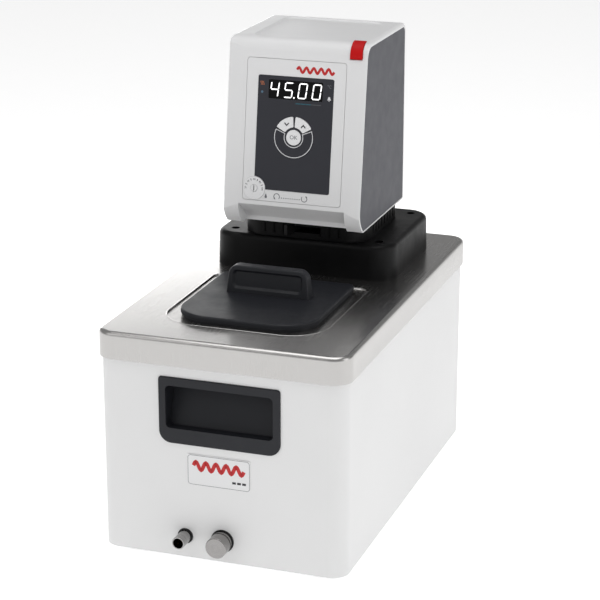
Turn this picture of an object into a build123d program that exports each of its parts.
from build123d import *
import os
from math import cos, radians, sin

# Benchtop heating water bath: a stainless tank in a painted casing, a loose bath lid,
# and a control head that stands on a bridge over the back of the tank.
#
# Millimetres. X to the right, Y to the back, Z up. The parts are designed about the
# centre of the tank with the table at z = 0, and are moved by FRAME_SHIFT_Y when they
# are written, so that the origin is under the middle of the whole object.

# ---------------------------------------------------------------- driving dimensions
DECK_WIDTH = 230.0
DECK_LENGTH = 384.0
DECK_TOP = 207.1
DECK_SKIRT = 24.4
DECK_CORNER = 17.0
DECK_EDGE = 4.0
SHEET = 1.0
OVERHANG = 2.4

FOOT_HEIGHT = 6.0
FOOT_X = 88.0
FOOT_Y = 165.0
CASING_X = DECK_WIDTH / 2 - OVERHANG
CASING_Y = DECK_LENGTH / 2 - OVERHANG
CASING_TOP = 200.0
CASING_CORNER = 15.0
CASING_FLANGE = 11.0
FLOOR_Z = FOOT_HEIGHT + SHEET

RECESS_WIDTH = 150.0
RECESS_FRONT = -151.0
RECESS_BACK = -4.0
RECESS_DEPTH = 1.2
OPENING_WIDTH = 122.0
OPENING_FRONT = -140.0
OPENING_BACK = -17.0
OPENING_CORNER = 28.0

TANK_X = 69.0
TANK_FRONT = -148.0
TANK_BACK = 153.0
TANK_FLOOR = 50.0
TANK_TOP = DECK_TOP - SHEET - RECESS_DEPTH
TANK_CORNER = 26.0
TANK_FLANGE = 8.0

LID_WIDTH = 128.0
LID_FRONT = -143.5
LID_BACK = -11.0
LID_BOTTOM = 208.2
LID_TOP = 213.0
HANDLE_WIDTH = 78.0
HANDLE_DEPTH = 14.5
HANDLE_Y = -63.5
HANDLE_TOP = 238.0
HANDLE_PANEL_DEPTH = 2.2
HANDLE_PANEL_SIDE = 8.0
HANDLE_PANEL_EDGE = 6.0

GRIP_WIDTH = 111.0
GRIP_LOW = 112.0
GRIP_HIGH = 172.4
GRIP_PROUD = 1.6
POCKET_WIDTH = 98.0
POCKET_LOW = 126.0
POCKET_HIGH = 164.7
POCKET_DEPTH = 22.0

PLATE_LEFT = -30.0
PLATE_RIGHT = 28.0
PLATE_LOW = 75.5
PLATE_HIGH = 104.0

SPOUT_X = -33.0
KNOB_X = 1.5
DRAIN_Z = 26.0
SPOUT_RADIUS = 5.75
SPOUT_SHANK = 5.4
SPOUT_REACH = 17.5
KNOB_RADIUS = 9.5
KNOB_REACH = 17.0
SPOUT_SEAL = 1.4
KNOB_SEAL = 1.2
DRAIN_HOLE = (-15.0, -128.0)

BRIDGE_WIDTH = 176.0
BRIDGE_FRONT = 20.0
BRIDGE_BACK = 158.0
BRIDGE_TOP = 240.0
BRIDGE_CORNER = 22.0
BRIDGE_WALL = 3.0
BRIDGE_SCREWS = [(x, y) for x in (-71.0, 71.0) for y in (38.0, 141.0)]
NOZZLE_X = 26.0
NOZZLE_Z = 222.0
NOZZLE_RADIUS = 8.0

NECK_WIDTH = 121.0
NECK_FRONT = 25.0
NECK_BACK = 130.0
HEAD_X = 65.5
HEAD_BOTTOM = 257.0
HEAD_TOP = 428.5
HEAD_BACK = 131.5
HEAD_WALL = 3.0
DISH_DEPTH = 1.6
CHIN_Z = 278.0
CHIN_HALF = 51.0
CHIN_BACK = 3.5
LEG_Z = 269.0
LEG_ROUND = 21.0
LEAN = 0.14
FRONT_Y = -7.0
FRONT_Z = 282.0
BEZEL_FLAT_X = 49.0
BEZEL_SWEEP = 1.6
RIM = 1.2

WINDOW_X = 47.0
WINDOW_LOW = 281.5
WINDOW_HIGH = 411.0
FOIL_X = 36.0
FOIL_LOW = 292.0
FOIL_HIGH = 396.0
DISPLAY_X = 25.7
DISPLAY_LOW = 375.0
DISPLAY_HIGH = 392.0
KEYPAD_Z = 341.3
KEY_GAP = 0.25
DIAL_X = -36.0
DIAL_Z = 293.0
DIAL_RADIUS = 10.6

SWITCH_LEFT = 49.8
SWITCH_RIGHT = 61.0
SWITCH_LOW = 414.8
SWITCH_BACK = 24.5
SWITCH_GAP = 0.9
SWITCH_PIVOT = (20.3, 419.5)

SHAFT_Y = 80.0
SHAFT_RADIUS = 3.0
RUNNING = 0.05
MOTOR_RADIUS = 27.0
PUMP_LOW = 62.0
PUMP_HIGH = 86.0
PUMP_RADIUS = 36.0
PIPE_X = 22.0
PIPE_Y = 103.0
FLOAT_X = 16.0
FLOAT_Y = 56.0
FLOAT_LOW = 158.0
SENSOR_X = -12.0
SENSOR_Y = 50.0
LEVER_Y = 50.0
LEVER_ANGLE = 21.8

INLET = (24.0, 292.0)
FUSES = [(-14.0, 292.0), (-34.0, 292.0)]
PORT = (-30.0, 322.0)
PANEL_SCREWS = [(x, z) for x in (-53.0, 53.0) for z in (273.0, 411.0)]

FRAME_SHIFT_Y = (CASING_Y + SPOUT_REACH - DECK_LENGTH / 2) / 2


# ---------------------------------------------------------------- small helpers
def block(x_low, x_high, y_low, y_high, z_low, z_high):
    centre = Pos((x_low + x_high) / 2, (y_low + y_high) / 2, (z_low + z_high) / 2)
    return centre * Box(x_high - x_low, y_high - y_low, z_high - z_low)


def post(x, y, z_low, z_high, radius):
    return Pos(x, y, (z_low + z_high) / 2) * Cylinder(radius, z_high - z_low)


def rod_y(x, z, y_low, y_high, radius):
    return Pos(x, (y_low + y_high) / 2, z) * Rot(90, 0, 0) * Cylinder(radius, y_high - y_low)


def rod_x(y, z, x_low, x_high, radius):
    return Pos((x_low + x_high) / 2, y, z) * Rot(0, 90, 0) * Cylinder(radius, x_high - x_low)


def rounded(width, low, high, low_radius, high_radius, centre=0.0):
    """Rectangle from low to high with one radius at its low corners and one at its high."""
    sketch = Pos(centre, (low + high) / 2) * Rectangle(width, high - low)
    sketch = fillet(sketch.vertices().group_by(Axis.Y)[0], low_radius)
    return fillet(sketch.vertices().group_by(Axis.Y)[-1], high_radius)


def upright(sketch, z_low, z_high):
    """Prism with a plan outline."""
    return Pos(0, 0, z_low) * extrude(sketch, z_high - z_low)


def facing(sketch, y_back, y_front):
    """Prism with an outline seen from the front, x to the right and z up."""
    plane = Plane(origin=(0, y_back, 0), x_dir=(1, 0, 0), z_dir=(0, -1, 0))
    return extrude(plane * sketch, y_back - y_front)


def sideways(sketch, x_low, x_high):
    """Prism with an outline seen from the right, y and z."""
    return Pos(x_low, 0, 0) * extrude(Plane.YZ * sketch, x_high - x_low)


def corner_of(sketch, row, place):
    """Vertex of a side outline: row 0 is the lowest and -1 the highest, place 0 is in front."""
    return sketch.vertices().group_by(Axis.Y)[row].sort_by(Axis.X)[place]


def front_y(z):
    return FRONT_Y + LEAN * (z - FRONT_Z)


def on_front(x, z, height=0.0):
    """Location on the leaning front of the head, z axis outwards."""
    plane = Plane(origin=(0, front_y(z), z), x_dir=(1, 0, 0), z_dir=(0, -1, LEAN))
    return plane.location * Pos(x, 0, height)


def panel(x_low, x_high, z_low, z_high, radius, back, front):
    """Plate on the leaning front, between two heights over its surface."""
    z_mid = (z_low + z_high) / 2
    sketch = RectangleRounded(x_high - x_low, z_high - z_low, radius)
    return on_front((x_low + x_high) / 2, z_mid, back) * extrude(sketch, front - back)


def on_back(part):
    """The same part turned round to the back of the casing."""
    return Rot(0, 0, 180) * part


# ---------------------------------------------------------------- casing and base
def grip_opening():
    z_mid = (POCKET_LOW + POCKET_HIGH) / 2
    sketch = Pos(0, z_mid) * Rectangle(POCKET_WIDTH + 5.0, POCKET_HIGH - POCKET_LOW + 5.0)
    return facing(sketch, 5 - CASING_Y, -5 - CASING_Y)


def base_screw_places():
    x = CASING_X - CASING_FLANGE / 2 - 1
    return [(side * x, y) for side in (-1, 1) for y in (-120.0, 0.0, 120.0)]


def outer_casing():
    outline = RectangleRounded(2 * CASING_X, 2 * CASING_Y, CASING_CORNER)
    inside = RectangleRounded(2 * (CASING_X - SHEET), 2 * (CASING_Y - SHEET), CASING_CORNER - SHEET)
    hole = RectangleRounded(2 * (CASING_X - CASING_FLANGE), 2 * (CASING_Y - CASING_FLANGE), 6)
    casing = upright(outline, FOOT_HEIGHT, CASING_TOP) - upright(inside, FLOOR_Z, CASING_TOP + 1)
    casing -= upright(hole, FOOT_HEIGHT - 1, FLOOR_Z + 1)
    casing -= grip_opening() + on_back(grip_opening())
    casing -= rod_y(SPOUT_X, DRAIN_Z, -CASING_Y - 2, 4 - CASING_Y, SPOUT_RADIUS + 0.3)
    casing -= rod_y(KNOB_X, DRAIN_Z, -CASING_Y - 2, 4 - CASING_Y, 6.3)
    for x, y in base_screw_places():
        casing -= post(x, y, FOOT_HEIGHT - 1, FLOOR_Z + 1, 2.1)
    return casing


def base_plate():
    inset = SHEET + 0.3
    outline = RectangleRounded(2 * (CASING_X - inset), 2 * (CASING_Y - inset), CASING_CORNER - inset)
    plate = upright(outline, FLOOR_Z, FLOOR_Z + 1.2)
    for x, y in base_screw_places():
        plate -= post(x, y, FLOOR_Z - 1, FLOOR_Z + 2, 2.1)
    for x in (-FOOT_X, FOOT_X):
        for y in (-FOOT_Y, FOOT_Y):
            plate -= post(x, y, FLOOR_Z - 1, FLOOR_Z + 2, 4.1)
    for column in (-45.0, 45.0):
        for row in range(8):
            slot = Pos(column, 24.0 * row - 84.0) * SlotOverall(50, 5)
            plate -= upright(slot, FLOOR_Z - 1, FLOOR_Z + 2)
    return plate


def rubber_feet():
    foot = Cone(9.5, 11.0, FLOOR_Z)
    foot = Pos(0, 0, FLOOR_Z / 2) * foot
    foot += post(0, 0, FLOOR_Z, FLOOR_Z + 1.4, 4.0)
    foot += Pos(0, 0, FLOOR_Z + 2.9) * Cone(5.4, 3.0, 3.0)
    places = [(x, y) for x in (-FOOT_X, FOOT_X) for y in (-FOOT_Y, FOOT_Y)]
    return Compound([Pos(x, y, 0) * foot for x, y in places])


def base_screws():
    screw = post(0, 0, FOOT_HEIGHT - 2.2, FOOT_HEIGHT, 3.6)
    screw = fillet(screw.edges().group_by(Axis.Z)[0], 1.2)
    screw += post(0, 0, FOOT_HEIGHT, FLOOR_Z + 4, 2.0)
    screw -= Pos(0, 0, FOOT_HEIGHT - 2.0) * (Box(3.6, 0.8, 1.6) + Box(0.8, 3.6, 1.6))
    return Compound([Pos(x, y, 0) * screw for x, y in base_screw_places()])


# ---------------------------------------------------------------- deck, tank and lid
def bath_recess(grow):
    return rounded(RECESS_WIDTH + 2 * grow, RECESS_FRONT - grow, RECESS_BACK + grow, 35 + grow, 8 + grow)


def bridge_seat(grow):
    return rounded(160 + 2 * grow, 26 - grow, 152 + grow, 12 + grow, 12 + grow)


def bath_opening(grow):
    return rounded(
        OPENING_WIDTH + 2 * grow,
        OPENING_FRONT - grow,
        OPENING_BACK + grow,
        OPENING_CORNER + grow,
        OPENING_CORNER / 2 + grow,
    )


def circulator_opening(grow):
    return rounded(120 + 2 * grow, 44 - grow, 134 + grow, 8 + grow, 8 + grow)


def steel_deck():
    low = DECK_TOP - DECK_SKIRT
    deck = upright(RectangleRounded(DECK_WIDTH, DECK_LENGTH, DECK_CORNER), low, DECK_TOP)
    deck = fillet(deck.edges().group_by(Axis.Z)[-1], DECK_EDGE)
    inside = RectangleRounded(DECK_WIDTH - 2 * SHEET, DECK_LENGTH - 2 * SHEET, DECK_CORNER - SHEET)
    hollow = upright(inside, low - 1, DECK_TOP - SHEET)
    deck -= fillet(hollow.edges().group_by(Axis.Z)[-1], DECK_EDGE - SHEET)
    for recess in (bath_recess, bridge_seat):
        deck += upright(recess(SHEET), TANK_TOP, DECK_TOP - SHEET / 2)
        deck -= Pos(0, 0, TANK_TOP + SHEET) * extrude(recess(-1), RECESS_DEPTH + 0.1, taper=-40)
    deck -= upright(bath_opening(0), TANK_TOP - 1, DECK_TOP)
    deck -= upright(circulator_opening(0), TANK_TOP - 1, DECK_TOP)
    for x, y in BRIDGE_SCREWS:
        deck -= post(x, y, TANK_TOP - 1, DECK_TOP + 1, 2.05)
    return deck


def tank_outline(grow):
    return rounded(
        2 * (TANK_X + grow),
        TANK_FRONT - grow,
        TANK_BACK + grow,
        TANK_CORNER + grow,
        TANK_CORNER + grow,
    )


def inner_tank():
    tank = upright(tank_outline(0), TANK_FLOOR, TANK_TOP)
    tank = fillet(tank.edges().group_by(Axis.Z)[0], 14)
    tank += upright(tank_outline(TANK_FLANGE), TANK_TOP - SHEET, TANK_TOP)
    hollow = upright(tank_outline(-SHEET), TANK_FLOOR + SHEET, TANK_TOP + 1)
    tank -= fillet(hollow.edges().group_by(Axis.Z)[0], 13)
    tank -= post(*DRAIN_HOLE, TANK_FLOOR - 1, TANK_FLOOR + 3, 4.0)
    for x, y in BRIDGE_SCREWS:
        tank -= post(x, y, TANK_TOP - 2, TANK_TOP + 1, 2.05)
    return tank


def tank_insulation():
    foam = upright(tank_outline(12), TANK_FLOOR - 12, TANK_TOP - 11)
    hollow = upright(tank_outline(0.3), TANK_FLOOR - 0.3, TANK_TOP)
    foam -= fillet(hollow.edges().group_by(Axis.Z)[0], 14)
    return foam - post(*DRAIN_HOLE, TANK_FLOOR - 14, TANK_FLOOR + 1, 5.6)


def lid_outline(inset):
    return rounded(LID_WIDTH - 2 * inset, LID_FRONT + inset, LID_BACK - inset, 33 - inset, 6 - inset)


def lid_handle():
    """Leaning bar with round upper corners and a sunk panel with sloping sides in its front."""
    height = HANDLE_TOP - LID_TOP
    foot = Rectangle(HANDLE_WIDTH, HANDLE_DEPTH)
    head = Pos(0, 0, height) * Rectangle(HANDLE_WIDTH - 5, HANDLE_DEPTH - 4)
    bar = loft(Sketch() + [foot, head])
    ends = bar.edges().group_by(Axis.Z)[-1].sort_by(Axis.X)
    bar = fillet([ends[0], ends[-1]], 9)
    long_edges = bar.faces().sort_by(Axis.Y)[0].edges() + bar.faces().sort_by(Axis.Y)[-1].edges()
    bar = fillet(long_edges.filter_by(lambda edge: edge.center().Z > 0.5), 1.6)
    floor_y = -HANDLE_DEPTH / 2 + 1.0 + HANDLE_PANEL_DEPTH
    sunk = RectangleRounded(HANDLE_WIDTH - 2 * HANDLE_PANEL_SIDE, height - 2 * HANDLE_PANEL_EDGE, 2.5)
    lean = Plane(origin=(0, floor_y, height / 2), x_dir=(1, 0, 0), z_dir=(0, -height, 2))
    bar -= extrude(lean * sunk, 2 * HANDLE_PANEL_DEPTH, taper=-45)
    return Pos(0, HANDLE_Y, LID_TOP) * bar


def bath_lid():
    lid = upright(lid_outline(0), LID_BOTTOM, LID_TOP)
    lid = fillet(lid.edges().group_by(Axis.Z)[-1], 2.0)
    lid = fillet(lid.edges().group_by(Axis.Z)[0], 0.8)
    lid += upright(lid_outline(1.5), TANK_TOP + SHEET, LID_BOTTOM + 1)
    rim = upright(bath_opening(-1.5), DECK_TOP - 11, LID_BOTTOM)
    lid += rim
    lid -= upright(bath_opening(-3.5), DECK_TOP - 12, LID_BOTTOM)
    return lid + lid_handle()


# ---------------------------------------------------------------- fittings on the casing
def grip_wedge(margin):
    """Side section of the finger pocket: deepest at the top, sloping out to the bottom."""
    mouth = -CASING_Y - 3
    deep = -CASING_Y + POCKET_DEPTH + margin
    shallow = -CASING_Y + POCKET_DEPTH * 0.38 + margin
    low = POCKET_LOW - margin
    high = POCKET_HIGH + margin
    corners = [(mouth, low), (shallow, low), (deep, high), (mouth, high)]
    return sideways(make_face(Polyline(corners, close=True)), -80, 80)


def pocket_prism(margin):
    sketch = Pos(0, (POCKET_LOW + POCKET_HIGH) / 2) * RectangleRounded(
        POCKET_WIDTH + 2 * margin, POCKET_HIGH - POCKET_LOW + 2 * margin, 4 + margin
    )
    return facing(sketch, 40 - CASING_Y, -4 - CASING_Y)


def front_grip():
    frame = rounded(GRIP_WIDTH, GRIP_LOW, GRIP_HIGH, 11, 3)
    grip = facing(frame, -CASING_Y, -CASING_Y - GRIP_PROUD)
    grip = fillet(grip.edges().group_by(Axis.Y)[0], 0.9)
    tub = pocket_prism(2.0) & grip_wedge(2.0)
    tub &= block(-80, 80, -CASING_Y - 0.2, 0, 0, 200)
    grip += tub
    return grip - (pocket_prism(0) & grip_wedge(0))


def rear_grip():
    return on_back(front_grip())


def name_plate():
    centre = (PLATE_LEFT + PLATE_RIGHT) / 2
    sketch = rounded(PLATE_RIGHT - PLATE_LEFT, PLATE_LOW, PLATE_HIGH, 3.5, 1.2, centre)
    return facing(sketch, -CASING_Y, -CASING_Y - 0.7)


def drain_spout():
    tip = -CASING_Y - SPOUT_REACH
    spout = rod_y(SPOUT_X, DRAIN_Z, tip, -CASING_Y - SPOUT_SEAL, SPOUT_RADIUS)
    spout = fillet(spout.edges().group_by(Axis.Y)[0], 0.4)
    spout += rod_y(SPOUT_X, DRAIN_Z, -CASING_Y - SPOUT_SEAL, -CASING_Y + 12, SPOUT_SHANK)
    return spout - rod_y(SPOUT_X, DRAIN_Z, tip - 1, -CASING_Y + 13, SPOUT_RADIUS - 1)


def drain_valve_body():
    back = -CASING_Y + 26
    body = block(-44, 13, -CASING_Y + 5, back, DRAIN_Z - 11, DRAIN_Z + 11)
    body = fillet(body.edges().filter_by(Axis.Y), 4)
    body += rod_y(KNOB_X, DRAIN_Z, -CASING_Y - 1.0, -CASING_Y + 6, 6.0)
    body -= rod_y(SPOUT_X, DRAIN_Z, -CASING_Y, -CASING_Y + 12, SPOUT_SHANK)
    body -= rod_y(SPOUT_X, DRAIN_Z, -CASING_Y, -CASING_Y + 21, SPOUT_RADIUS - 1)
    body -= rod_x(-CASING_Y + 17, DRAIN_Z, SPOUT_X, KNOB_X, 3.5)
    body -= rod_y(KNOB_X, DRAIN_Z, -CASING_Y - 2, -CASING_Y + 21, 3.0 + RUNNING)
    body -= rod_y(DRAIN_HOLE[0], DRAIN_Z, -CASING_Y + 17, back + 1, 4.0)
    return body


def drain_pipe():
    start = (*DRAIN_HOLE, TANK_FLOOR)
    corner = (*DRAIN_HOLE, DRAIN_Z)
    end = (DRAIN_HOLE[0], -CASING_Y + 26, DRAIN_Z)
    path = FilletPolyline(start, corner, end, radius=10)
    ring = Circle(5.2) - Circle(4.0)
    return sweep(Plane(origin=start, z_dir=(0, 0, -1)) * ring, path=path)


def seal_ring(x, thickness, outer, inner):
    ring = rod_y(x, DRAIN_Z, -CASING_Y - thickness, -CASING_Y, outer)
    ring = fillet(ring.edges().group_by(Axis.Y)[0], 0.5)
    return ring - rod_y(x, DRAIN_Z, -CASING_Y - thickness - 1, -CASING_Y + 1, inner)


def drain_seals():
    """Rubber rings on the casing, round the spout and behind the knob."""
    spout = seal_ring(SPOUT_X, SPOUT_SEAL, SPOUT_RADIUS + 1.3, SPOUT_SHANK)
    return Compound([spout, seal_ring(KNOB_X, KNOB_SEAL, KNOB_RADIUS + 1.0, 6.3)])


def drain_spindle():
    """Valve stem: it slides out as the knob turns on its thread."""
    return rod_y(KNOB_X, DRAIN_Z, -CASING_Y - 9, -CASING_Y + 16, 3.0)


def drain_knob():
    back = -CASING_Y - KNOB_SEAL - 0.5
    tip = -CASING_Y - KNOB_REACH
    knob = rod_y(KNOB_X, DRAIN_Z, tip, back, KNOB_RADIUS)
    knob = fillet(knob.edges().group_by(Axis.Y)[0], 0.9)
    groove = rod_y(KNOB_X, DRAIN_Z, back - 4.6, back - 3.4, KNOB_RADIUS + 1)
    knob -= groove - rod_y(KNOB_X, DRAIN_Z, back - 5, back - 3, KNOB_RADIUS - 1.1)
    return knob - rod_y(KNOB_X, DRAIN_Z, tip + 3.2, back + 1, 3.0 + RUNNING)


# ---------------------------------------------------------------- bridge
def bridge_block(inset, top):
    outline = rounded(
        BRIDGE_WIDTH - 2 * inset,
        BRIDGE_FRONT + inset,
        BRIDGE_BACK - inset,
        BRIDGE_CORNER - inset,
        BRIDGE_CORNER - inset,
    )
    return Pos(0, 0, DECK_TOP) * extrude(outline, top - DECK_TOP, taper=1.5)


def bridge_cover():
    cover = bridge_block(0, BRIDGE_TOP)
    cover = fillet(cover.edges().group_by(Axis.Z)[-1], 4.5)
    cover -= bridge_block(BRIDGE_WALL, BRIDGE_TOP - BRIDGE_WALL)
    for x, y in BRIDGE_SCREWS:
        cover += post(x, y, DECK_TOP + 1.5, BRIDGE_TOP - 1, 6.8)
        cover -= post(x, y, DECK_TOP + 9, BRIDGE_TOP + 1, 3.9)
        cover -= post(x, y, DECK_TOP, DECK_TOP + 10, 2.1)
    cover -= post(0, SHAFT_Y, BRIDGE_TOP - 5, BRIDGE_TOP + 1, 9.2)
    for x in (-NOZZLE_X, NOZZLE_X):
        cover -= rod_y(x, NOZZLE_Z, BRIDGE_BACK - 8, BRIDGE_BACK + 2, NOZZLE_RADIUS + 0.1)
    return cover


def hanging_holes(z_low, z_high):
    """Holes for everything that hangs from the bridge into the tank."""
    holes = post(0, SHAFT_Y, z_low, z_high, 9.1)
    holes += post(SENSOR_X, SENSOR_Y, z_low, z_high, 2.7)
    holes += post(FLOAT_X, FLOAT_Y, z_low, z_high, 2.7)
    for side in (-1, 1):
        holes += post(side * 48, 56, z_low, z_high, 4.1)
        holes += post(side * 36, 50, z_low, z_high, 4.1)
        holes += post(side * PIPE_X, PIPE_Y, z_low, z_high, 5.1)
    return holes


def bridge_underplate():
    plate = upright(bridge_seat(-1.3), DECK_TOP, DECK_TOP + 1.5)
    for x, y in BRIDGE_SCREWS:
        plate -= post(x, y, DECK_TOP - 1, DECK_TOP + 2, 2.1)
    return plate - hanging_holes(DECK_TOP - 1, DECK_TOP + 2)


def bridge_gasket():
    gasket = upright(bridge_seat(-1.3), DECK_TOP - RECESS_DEPTH, DECK_TOP)
    gasket -= upright(circulator_opening(0), 0, DECK_TOP + 1)
    for x, y in BRIDGE_SCREWS:
        gasket -= post(x, y, DECK_TOP - 2, DECK_TOP + 1, 2.1)
    return gasket


def bridge_screws():
    seat = DECK_TOP + 9
    screw = post(0, 0, seat, seat + 4, 3.5)
    screw = fillet(screw.edges().group_by(Axis.Z)[-1], 0.4)
    screw -= Pos(0, 0, seat + 2) * extrude(RegularPolygon(1.7, 6), 3)
    screw += post(0, 0, TANK_TOP - 8, seat, 2.0)
    return Compound([Pos(x, y, 0) * screw for x, y in BRIDGE_SCREWS])


def pump_nozzles():
    nozzle = rod_y(0, NOZZLE_Z, BRIDGE_BACK - 18, BRIDGE_BACK + 18, NOZZLE_RADIUS)
    nozzle = chamfer(nozzle.edges().group_by(Axis.Y)[-1], 0.8)
    hexagon = Pos(0, NOZZLE_Z) * RegularPolygon(11, 6)
    nozzle += facing(hexagon, BRIDGE_BACK + 4, BRIDGE_BACK)
    nozzle -= rod_y(0, NOZZLE_Z, BRIDGE_BACK - 19, BRIDGE_BACK + 19, 5.0)
    return Compound([Pos(x, 0, 0) * nozzle for x in (-NOZZLE_X, NOZZLE_X)])


# ---------------------------------------------------------------- neck and lever
def neck_outline(inset):
    return rounded(NECK_WIDTH - 2 * inset, NECK_FRONT + inset, NECK_BACK - inset, 20 - inset, 8 - inset)


def head_base():
    neck = upright(neck_outline(0), BRIDGE_TOP, HEAD_BOTTOM)
    neck -= upright(neck_outline(3.5), BRIDGE_TOP + 3, HEAD_BOTTOM + 1)
    for step in range(-4, 5):
        if abs(step) > 1:
            x = 9.0 * step
            neck -= block(x - 1.2, x + 1.2, NECK_FRONT - 1, NECK_FRONT + 1.2, BRIDGE_TOP + 3, HEAD_BOTTOM - 2)
    for step in range(8):
        y = 52.0 + 9.0 * step
        for side in (-1, 1):
            low = side * NECK_WIDTH / 2 - 1.2
            neck -= block(low, low + 2.4, y - 1.2, y + 1.2, BRIDGE_TOP + 3, HEAD_BOTTOM - 2)
    neck -= block(-17.5, 17.5, NECK_FRONT - 1, NECK_FRONT + 6, 245.4, 251.6)
    neck -= post(0, SHAFT_Y, BRIDGE_TOP - 1, BRIDGE_TOP + 4, 6.0)
    neck += post(0, LEVER_Y, BRIDGE_TOP + 2, 253.0, 2.5)
    return neck + post(0, LEVER_Y, BRIDGE_TOP + 2, 245.5, 5.0)


def flow_lever():
    """Lever under the front of the head that sends the pump flow inside or outside."""
    lever = post(0, 0, 246.0, 251.0, 5.5)
    lever += block(-2.2, 2.2, -30, 0, 246.0, 251.0)
    tab = block(-1.8, 1.8, -36, -28, 243.6, 254.4)
    lever += fillet(tab.edges().filter_by(Axis.X), 1.2)
    lever -= post(0, 0, 245, 252, 2.5 + RUNNING)
    return Pos(0, LEVER_Y, 0) * Rot(0, 0, -LEVER_ANGLE) * lever


# ---------------------------------------------------------------- head shells
def head_profile():
    """Side outline of the head, y and z: slanted chin, front leaning back, round front top."""
    corners = [
        (CHIN_BACK, HEAD_BOTTOM),
        (front_y(LEG_Z), LEG_Z),
        (front_y(HEAD_TOP), HEAD_TOP),
        (HEAD_BACK, HEAD_TOP),
        (HEAD_BACK, HEAD_BOTTOM),
    ]
    sketch = make_face(Polyline(corners, close=True))
    sketch = fillet(sketch.vertices().group_by(Axis.Y)[1], LEG_ROUND)
    sketch = fillet(corner_of(sketch, -1, 0), 13)
    sketch = fillet(corner_of(sketch, -1, -1), 8)
    return fillet(corner_of(sketch, 0, 0), 6)


def head_block(inset):
    """Head shape: side outline, swept front corners and round top edges together."""
    half = HEAD_X - inset
    side = sideways(offset(head_profile(), amount=-inset) if inset else head_profile(), -half, half)
    y_zero = front_y(0) + inset
    flat = BEZEL_FLAT_X - inset
    back = y_zero + 300
    front_line = Line((-flat, y_zero), (flat, y_zero))
    right = TangentArc((flat, y_zero), (half, y_zero + BEZEL_SWEEP), tangent=(1, 0.02))
    left = TangentArc((-flat, y_zero), (-half, y_zero + BEZEL_SWEEP), tangent=(-1, 0.02))
    rest = Polyline((half, y_zero + BEZEL_SWEEP), (half, back), (-half, back), (-half, y_zero + BEZEL_SWEEP))
    plan = make_face(front_line + right + rest + left)
    swept = extrude(plan, 500, dir=(0, LEAN, 1))
    ahead = rounded(2 * half, 100, HEAD_TOP - inset, 1, 4 - inset / 2)
    return side & swept & facing(ahead, 300, -100)


def chin_recess(grow):
    """Finger recess under the front edge of the head."""
    corners = [
        (-30, CHIN_Z + grow),
        (front_y(CHIN_Z) + 0.9, CHIN_Z + grow),
        (14 + grow, HEAD_BOTTOM + 4.0 + grow),
        (14 + grow, 240),
        (-30, 240),
    ]
    half = CHIN_HALF + grow
    return sideways(make_face(Polyline(corners, close=True)), -half, half)


def side_profile(inset):
    corners = [
        (CHIN_BACK + RIM, HEAD_BOTTOM + RIM),
        (front_y(LEG_Z) + BEZEL_SWEEP + RIM, LEG_Z + RIM / 2),
        (front_y(HEAD_TOP - 4.3) + BEZEL_SWEEP + RIM, HEAD_TOP - 4.3),
        (HEAD_BACK - RIM, HEAD_TOP - 4.3),
        (HEAD_BACK - RIM, HEAD_BOTTOM + RIM),
    ]
    sketch = make_face(Polyline(corners, close=True))
    sketch = fillet(sketch.vertices().group_by(Axis.Y)[1], LEG_ROUND - RIM)
    sketch = fillet(corner_of(sketch, -1, 0), 12)
    sketch = fillet(corner_of(sketch, -1, -1), 6)
    sketch = fillet(corner_of(sketch, 0, 0), 4)
    return offset(sketch, amount=-inset) if inset else sketch


def side_panel(side):
    inner = HEAD_X - 2.0
    plate = sideways(side_profile(0.1), inner, HEAD_X - 0.1)
    plate = fillet(plate.edges().group_by(Axis.X)[-1], 0.5)
    return plate if side > 0 else mirror(plate, about=Plane.YZ)


def side_panel_right():
    return side_panel(1)


def side_panel_left():
    return side_panel(-1)


def rear_window(grow, y_low, y_high):
    sketch = Pos(0, 342) * RectangleRounded(116 + 2 * grow, 148 + 2 * grow, 4)
    return facing(sketch, y_high, y_low)


def switch_region(grow):
    """Part of the side outline that the mains rocker fills, round the front top edge."""
    corners = [
        (0, SWITCH_LOW - grow),
        (SWITCH_BACK - 6, SWITCH_LOW - grow),
        (SWITCH_BACK + grow, SWITCH_LOW + 5),
        (SWITCH_BACK + grow, HEAD_TOP + 10),
        (0, HEAD_TOP + 10),
    ]
    return make_face(Polyline(corners, close=True))


def head_cover():
    cover = head_block(0) - chin_recess(0)
    cover -= head_block(HEAD_WALL) - chin_recess(HEAD_WALL)
    for low, high in ((-HEAD_X - 1, 2.0 - HEAD_X), (HEAD_X - 2.0, HEAD_X + 1)):
        cover -= sideways(side_profile(0), low, high)
    cover -= Pos(0, 0, HEAD_TOP - DISH_DEPTH) * extrude(rounded(92, 26, 120, 6, 6), DISH_DEPTH + 0.1, taper=-50)
    cover -= block(-57.4, 57.4, 39.6, HEAD_BACK - HEAD_WALL, HEAD_BOTTOM - 1, HEAD_BOTTOM + 5)
    ledge = rear_window(3, HEAD_BACK - 6, HEAD_BACK - HEAD_WALL)
    cover += ledge - rear_window(-6, HEAD_BACK - 8, HEAD_BACK)
    cover -= rear_window(0.3, HEAD_BACK - HEAD_WALL, HEAD_BACK + 5)
    for x, z in PANEL_SCREWS:
        cover -= rod_y(x, z, HEAD_BACK - 9, HEAD_BACK, 1.6)
    gap = 0.35
    cover -= panel(-WINDOW_X - gap, WINDOW_X + gap, WINDOW_LOW - gap, WINDOW_HIGH + gap, 3, -2.5, 4)
    cover -= panel(4 - WINDOW_X, WINDOW_X - 4, WINDOW_LOW + 4, WINDOW_HIGH - 4, 2, -8, 4)
    cover -= on_front(DIAL_X, DIAL_Z) * Cylinder(4, 30)
    low = SWITCH_BACK + SWITCH_GAP
    return cover - block(SWITCH_LEFT - 0.4, SWITCH_RIGHT + 0.4, 0, low, SWITCH_LOW - SWITCH_GAP, HEAD_TOP + 5)


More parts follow.
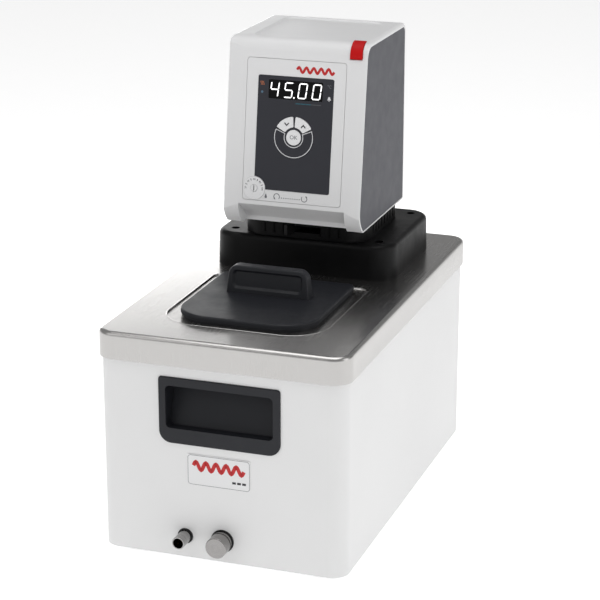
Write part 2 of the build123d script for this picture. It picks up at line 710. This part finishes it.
# ---------------------------------------------------------------- front panel
def ring_sector(inner, outer, start, sweep_angle, corner):
    """Flat ring sector with rounded corners, angles anticlockwise from the right."""
    end = start + sweep_angle
    arcs = CenterArc((0, 0), outer, start, sweep_angle) + CenterArc((0, 0), inner, start, sweep_angle)
    for angle in (start, end):
        direction = (cos(radians(angle)), sin(radians(angle)))
        low = (inner * direction[0], inner * direction[1])
        high = (outer * direction[0], outer * direction[1])
        arcs += Line(low, high)
    sector = make_face(arcs.edges())
    return fillet(sector.vertices(), corner)


KEY_SHAPES = {
    "key_ok": (0.0, 7.0, 0.0, 360.0),
    "key_up": (9.2, 18.8, 28.0, 58.5),
    "key_down": (9.2, 18.8, 93.5, 58.5),
    "key_back": (8.3, 18.8, 156.0, 228.0),
}


def key_outline(name, grow):
    inner, outer, start, sweep_angle = KEY_SHAPES[name]
    if sweep_angle == 360.0:
        return Circle(outer + grow)
    sector = ring_sector(inner, outer, start, sweep_angle, 1.0)
    return offset(sector, amount=grow) if grow else sector


def key(name):
    body = extrude(key_outline(name, 0), 3.1)
    body = fillet(body.edges().group_by(Axis.Z)[-1], 0.15)
    return on_front(0, KEYPAD_Z, -2.6) * body


def key_holes():
    shapes = Part()
    for name in KEY_SHAPES:
        shapes += on_front(0, KEYPAD_Z, -6) * extrude(key_outline(name, KEY_GAP), 12)
    return shapes


def display_opening(grow, back, front):
    return panel(-DISPLAY_X - grow, DISPLAY_X + grow, DISPLAY_LOW - grow, DISPLAY_HIGH + grow, 1, back, front)


def front_plate():
    plate = panel(-WINDOW_X, WINDOW_X, WINDOW_LOW, WINDOW_HIGH, 2.7, -2.4, 0)
    plate -= panel(-FOIL_X - 0.15, FOIL_X + 0.15, FOIL_LOW - 0.15, FOIL_HIGH + 0.15, 2, -0.4, 3)
    plate -= display_opening(0.1, -6, 3)
    plate -= on_front(DIAL_X, DIAL_Z, 0.0) * Cylinder(DIAL_RADIUS + 0.15, 1.4)
    plate -= on_front(DIAL_X, DIAL_Z) * Cylinder(3.5, 20)
    return plate - key_holes()


def control_foil():
    foil = panel(-FOIL_X, FOIL_X, FOIL_LOW, FOIL_HIGH, 1.8, -0.4, 0.2)
    foil -= display_opening(0.1, -6, 3)
    foil -= on_front(DIAL_X, DIAL_Z) * Cylinder(DIAL_RADIUS + 0.45, 6)
    return foil - key_holes()


def display_module():
    module = display_opening(0, -7.0, 0.2)
    return module + panel(-32, 32, DISPLAY_LOW - 3, DISPLAY_HIGH + 3, 1, -9.0, -3.2)


def dial_scale():
    disc = Cylinder(DIAL_RADIUS, 1.2)
    disc = fillet(disc.edges().group_by(Axis.Z)[-1], 0.3)
    return on_front(DIAL_X, DIAL_Z, -0.1) * (disc - Cylinder(3.4, 4))


def dial_spindle():
    spindle = Pos(0, 0, -6.5) * Cylinder(3.1, 14.8)
    spindle -= Pos(0, 0, 0.9) * Box(0.9, 8, 1.6)
    return on_front(DIAL_X, DIAL_Z) * spindle


def safety_thermostat():
    body = Pos(0, 0, -18.5) * Cylinder(9.5, 22)
    return on_front(DIAL_X, DIAL_Z) * (body - Pos(0, 0, -12) * Cylinder(3.1 + RUNNING, 10))


def mains_switch():
    shape = offset(head_profile(), amount=0.8) & switch_region(0)
    rocker = sideways(shape, SWITCH_LEFT, SWITCH_RIGHT)
    return rocker - rod_x(*SWITCH_PIVOT, SWITCH_LEFT - 1, SWITCH_RIGHT + 1, 1.2 + RUNNING)


def switch_housing():
    low_y = SWITCH_PIVOT[0] - 2.5
    left = SWITCH_LEFT - 1.6
    right = SWITCH_RIGHT + 1.4
    housing = block(left, right, low_y, low_y + 14, 398, 410)
    for low, high in ((left, SWITCH_LEFT - 0.5), (SWITCH_RIGHT + 0.5, right)):
        housing += block(low, high, low_y, low_y + 6, 409, SWITCH_PIVOT[1] + 2.5)
    return housing + rod_x(*SWITCH_PIVOT, left, right, 1.2)


# ---------------------------------------------------------------- electronics in the head
def control_board():
    board = panel(-43, 43, 300, 404, 2, -12.6, -11.0)
    board -= on_front(DIAL_X, DIAL_Z) * Cylinder(12, 60)
    for row in range(3):
        board += panel(-14, 14, 322 + 16 * row, 332 + 16 * row, 0.5, -15.0, -12.6)
    return board


def power_board():
    outer = HEAD_WALL - HEAD_X + 0.6
    face = outer + 1.6
    board = block(outer, face, 24, 118, 275, 400)
    board += block(face, -44, 30, 60, 285, 320)
    for row in range(3):
        board += rod_x(40, 340 + 18 * row, face, -40, 7.5)
    for fin in range(6):
        board += block(face, -43, 70 + 7 * fin, 73 + 7 * fin, 345, 390)
    return board


def mains_filter():
    return fillet(block(39, 61, 30, 84, 262, 305).edges().filter_by(Axis.X), 3)


def motor_mount():
    plate = block(-57, 57, 40, 128, HEAD_BOTTOM, HEAD_BOTTOM + 3)
    plate -= post(0, SHAFT_Y, HEAD_BOTTOM - 1, HEAD_BOTTOM + 4, 12)
    for side in (-1, 1):
        plate -= block(side * 50 - 4, side * 50 + 4, 100, 120, HEAD_BOTTOM - 1, HEAD_BOTTOM + 4)
    return plate


def pump_motor():
    low = HEAD_BOTTOM + 3
    motor = post(0, SHAFT_Y, low, low + 66, MOTOR_RADIUS)
    motor = fillet(motor.edges(), 3)
    for angle in range(0, 360, 15):
        groove = Pos(0, SHAFT_Y, low + 33) * Rot(0, 0, angle) * Pos(MOTOR_RADIUS, 0, 0)
        motor -= groove * Box(2, 2.4, 44)
    motor += post(0, SHAFT_Y, low - 3, low + 1, 11.5)
    motor += post(0, SHAFT_Y, low + 65, low + 69, 8)
    return motor - post(0, SHAFT_Y, low - 4, low + 70, SHAFT_RADIUS + RUNNING)


def vane_wheel(hub, tip, height, bore, vanes, pitch):
    wheel = Cylinder(hub, height)
    for index in range(vanes):
        vane = Pos((hub + tip) / 2, 0, 0) * Rot(pitch, 0, 0) * Box(tip - hub + 1, 1.4, height * 0.9)
        wheel += Rot(0, 0, 360 / vanes * index) * vane
    return wheel - Cylinder(bore, height + 2)


def cooling_fan():
    return Pos(0, SHAFT_Y, 341) * vane_wheel(9, 27, 11, SHAFT_RADIUS, 7, 35)


def impeller():
    wheel = vane_wheel(7, 21, 9, SHAFT_RADIUS, 6, 0)
    disc = Cylinder(21, 2) - Cylinder(SHAFT_RADIUS, 4)
    return Pos(0, SHAFT_Y, 71) * (wheel + Pos(0, 0, 5) * disc)


def pump_shaft():
    return post(0, SHAFT_Y, PUMP_LOW + 2, 350, SHAFT_RADIUS)


# ---------------------------------------------------------------- parts that hang in the tank
def pump_tube():
    tube = post(0, SHAFT_Y, PUMP_HIGH, BRIDGE_TOP, 9.0) - post(0, SHAFT_Y, 0, 300, 7.0)
    for z in (105, 190):
        tube -= Pos(0, SHAFT_Y, z) * (Box(6, 40, 16) + Box(40, 6, 16))
    return tube


def pump_housing():
    housing = post(0, SHAFT_Y, PUMP_LOW, PUMP_HIGH, PUMP_RADIUS)
    housing = fillet(housing.edges().group_by(Axis.Z)[-1], 2)
    housing -= post(0, SHAFT_Y, PUMP_LOW - 1, PUMP_HIGH - 4, 24)
    housing -= block(0, PIPE_X, SHAFT_Y + 14, SHAFT_Y + 24, PUMP_LOW + 6, PUMP_HIGH - 8)
    housing -= post(PIPE_X, PIPE_Y, PUMP_LOW + 6, PUMP_HIGH + 1, 4.0)
    return housing - post(0, SHAFT_Y, PUMP_HIGH - 5, PUMP_HIGH + 1, SHAFT_RADIUS + RUNNING)


def pump_cover():
    cover = post(0, SHAFT_Y, PUMP_LOW - 3, PUMP_LOW, PUMP_RADIUS)
    cover -= post(0, SHAFT_Y, PUMP_LOW - 4, PUMP_LOW + 1, 11)
    for angle in range(0, 360, 60):
        cover -= Pos(0, SHAFT_Y, PUMP_LOW - 1.5) * Rot(0, 0, angle) * Pos(17, 0, 0) * Cylinder(2.2, 5)
    return cover


def flow_pipe(x, z_low):
    start = (x, PIPE_Y, z_low)
    path = FilletPolyline(start, (x, PIPE_Y, NOZZLE_Z), (x, BRIDGE_BACK - 18, NOZZLE_Z), radius=12)
    return sweep(Plane(origin=start, z_dir=(0, 0, 1)) * (Circle(5.0) - Circle(4.0)), path=path)


def flow_pipes():
    return Compound([flow_pipe(PIPE_X, PUMP_HIGH), flow_pipe(-PIPE_X, 140)])


def heater_loop(x, y_front, y_back, z):
    top = DECK_TOP + 14
    points = [
        (-x, y_front, top),
        (-x, y_front, z),
        (-x, y_back, z),
        (x, y_back, z),
        (x, y_front, z),
        (x, y_front, top),
    ]
    path = FilletPolyline(*points, radius=12)
    return sweep(Plane(origin=points[0], z_dir=(0, 0, -1)) * Circle(4.0), path=path)


def heater_coil():
    return Compound([heater_loop(48, 56, 128, 112), heater_loop(36, 50, 129, 99)])


def temperature_sensor():
    probe = post(SENSOR_X, SENSOR_Y, 88, DECK_TOP + 10, 2.5)
    probe = fillet(probe.edges().group_by(Axis.Z)[0], 2.2)
    return probe + post(SENSOR_X, SENSOR_Y, DECK_TOP + 1.5, DECK_TOP + 6, 5)


def float_stem():
    stem = post(FLOAT_X, FLOAT_Y, FLOAT_LOW - 2, DECK_TOP + 10, 2.5)
    stem += post(FLOAT_X, FLOAT_Y, FLOAT_LOW - 2, FLOAT_LOW, 6)
    stem += post(FLOAT_X, FLOAT_Y, FLOAT_LOW + 29.5, FLOAT_LOW + 31, 5)
    return stem + post(FLOAT_X, FLOAT_Y, DECK_TOP + 1.5, DECK_TOP + 6, 5)


def level_float():
    low = FLOAT_LOW + 0.1
    ball = post(FLOAT_X, FLOAT_Y, low, low + 17, 10)
    ball = fillet(ball.edges(), 3)
    return ball - post(FLOAT_X, FLOAT_Y, low - 1, low + 18, 2.85)


# ---------------------------------------------------------------- rear panel
def rear_panel():
    plate = rear_window(0, HEAD_BACK - HEAD_WALL, HEAD_BACK)
    for row in range(9):
        for column in (-24.0, 24.0):
            slot = Pos(column, 345.0 + 6.5 * row) * SlotOverall(38, 3)
            plate -= facing(slot, HEAD_BACK + 1, HEAD_BACK - 5)
    plate -= block(INLET[0] - 14.5, INLET[0] + 14.5, 120, 140, INLET[1] - 11, INLET[1] + 11)
    for x, z in FUSES:
        plate -= rod_y(x, z, 120, 140, 6.6)
    plate -= block(PORT[0] - 6.6, PORT[0] + 6.6, 120, 140, PORT[1] - 6, PORT[1] + 6)
    for x, z in PANEL_SCREWS:
        plate -= rod_y(x, z, 120, 140, 1.6)
    return plate


def mains_inlet():
    x, z = INLET
    flange = facing(Pos(x, z) * RectangleRounded(33, 26, 3), HEAD_BACK + 2.4, HEAD_BACK)
    inlet = flange + block(x - 14.2, x + 14.2, HEAD_BACK - 22, HEAD_BACK, z - 10.7, z + 10.7)
    mouth = Pos(x, z) * chamfer(Rectangle(24.6, 16.8).vertices().group_by(Axis.Y)[-1], 4.5)
    inlet -= facing(mouth, HEAD_BACK + 3, HEAD_BACK - 16)
    for dx, dz in ((-7.0, -2.0), (0.0, 2.0), (7.0, -2.0)):
        inlet += block(x + dx - 1, x + dx + 1, HEAD_BACK - 17, HEAD_BACK - 1, z + dz - 2, z + dz + 2)
    return inlet


def fuse_holders():
    holder = rod_y(0, 0, HEAD_BACK - 24, HEAD_BACK, 6.4)
    cap = rod_y(0, 0, HEAD_BACK, HEAD_BACK + 5, 7.6)
    holder += fillet(cap.edges().group_by(Axis.Y)[-1], 1.0)
    holder -= block(-4.5, 4.5, HEAD_BACK + 3.6, HEAD_BACK + 6, -0.7, 0.7)
    return Compound([Pos(x, 0, z) * holder for x, z in FUSES])


def data_port():
    x, z = PORT
    port = block(x - 6.3, x + 6.3, HEAD_BACK - 14, HEAD_BACK + 0.6, z - 5.7, z + 5.7)
    port -= block(x - 5.2, x + 5.2, HEAD_BACK - 10, HEAD_BACK + 1, z - 4.6, z + 4.6)
    return port + block(x - 3, x + 3, HEAD_BACK - 11, HEAD_BACK - 2, z - 1.8, z + 1.8)


def panel_screws():
    screw = rod_y(0, 0, HEAD_BACK, HEAD_BACK + 2, 2.9)
    screw = fillet(screw.edges().group_by(Axis.Y)[-1], 0.9)
    screw += rod_y(0, 0, HEAD_BACK - 5, HEAD_BACK, 1.5)
    cross = block(-1.8, 1.8, HEAD_BACK + 1, HEAD_BACK + 3, -0.4, 0.4)
    cross += block(-0.4, 0.4, HEAD_BACK + 1, HEAD_BACK + 3, -1.8, 1.8)
    return Compound([Pos(x, 0, z) * (screw - cross) for x, z in PANEL_SCREWS])


# ---------------------------------------------------------------- write one file per node
BUILDERS = [
    outer_casing,
    base_plate,
    rubber_feet,
    base_screws,
    steel_deck,
    inner_tank,
    tank_insulation,
    bath_lid,
    front_grip,
    rear_grip,
    name_plate,
    drain_spout,
    drain_seals,
    drain_valve_body,
    drain_pipe,
    drain_spindle,
    drain_knob,
    bridge_cover,
    bridge_underplate,
    bridge_gasket,
    bridge_screws,
    pump_nozzles,
    head_base,
    flow_lever,
    head_cover,
    side_panel_left,
    side_panel_right,
    front_plate,
    control_foil,
    display_module,
    dial_scale,
    dial_spindle,
    safety_thermostat,
    mains_switch,
    switch_housing,
    control_board,
    power_board,
    mains_filter,
    motor_mount,
    pump_motor,
    cooling_fan,
    impeller,
    pump_shaft,
    pump_tube,
    pump_housing,
    pump_cover,
    flow_pipes,
    heater_coil,
    temperature_sensor,
    float_stem,
    level_float,
    rear_panel,
    mains_inlet,
    fuse_holders,
    data_port,
    panel_screws,
]


def write(name, shape):
    export_step(Pos(0, FRAME_SHIFT_Y, 0) * shape, f"parts/{name}.step")


os.makedirs("parts", exist_ok=True)
for builder in BUILDERS:
    write(builder.__name__, builder())
for key_name in KEY_SHAPES:
    write(key_name, key(key_name))
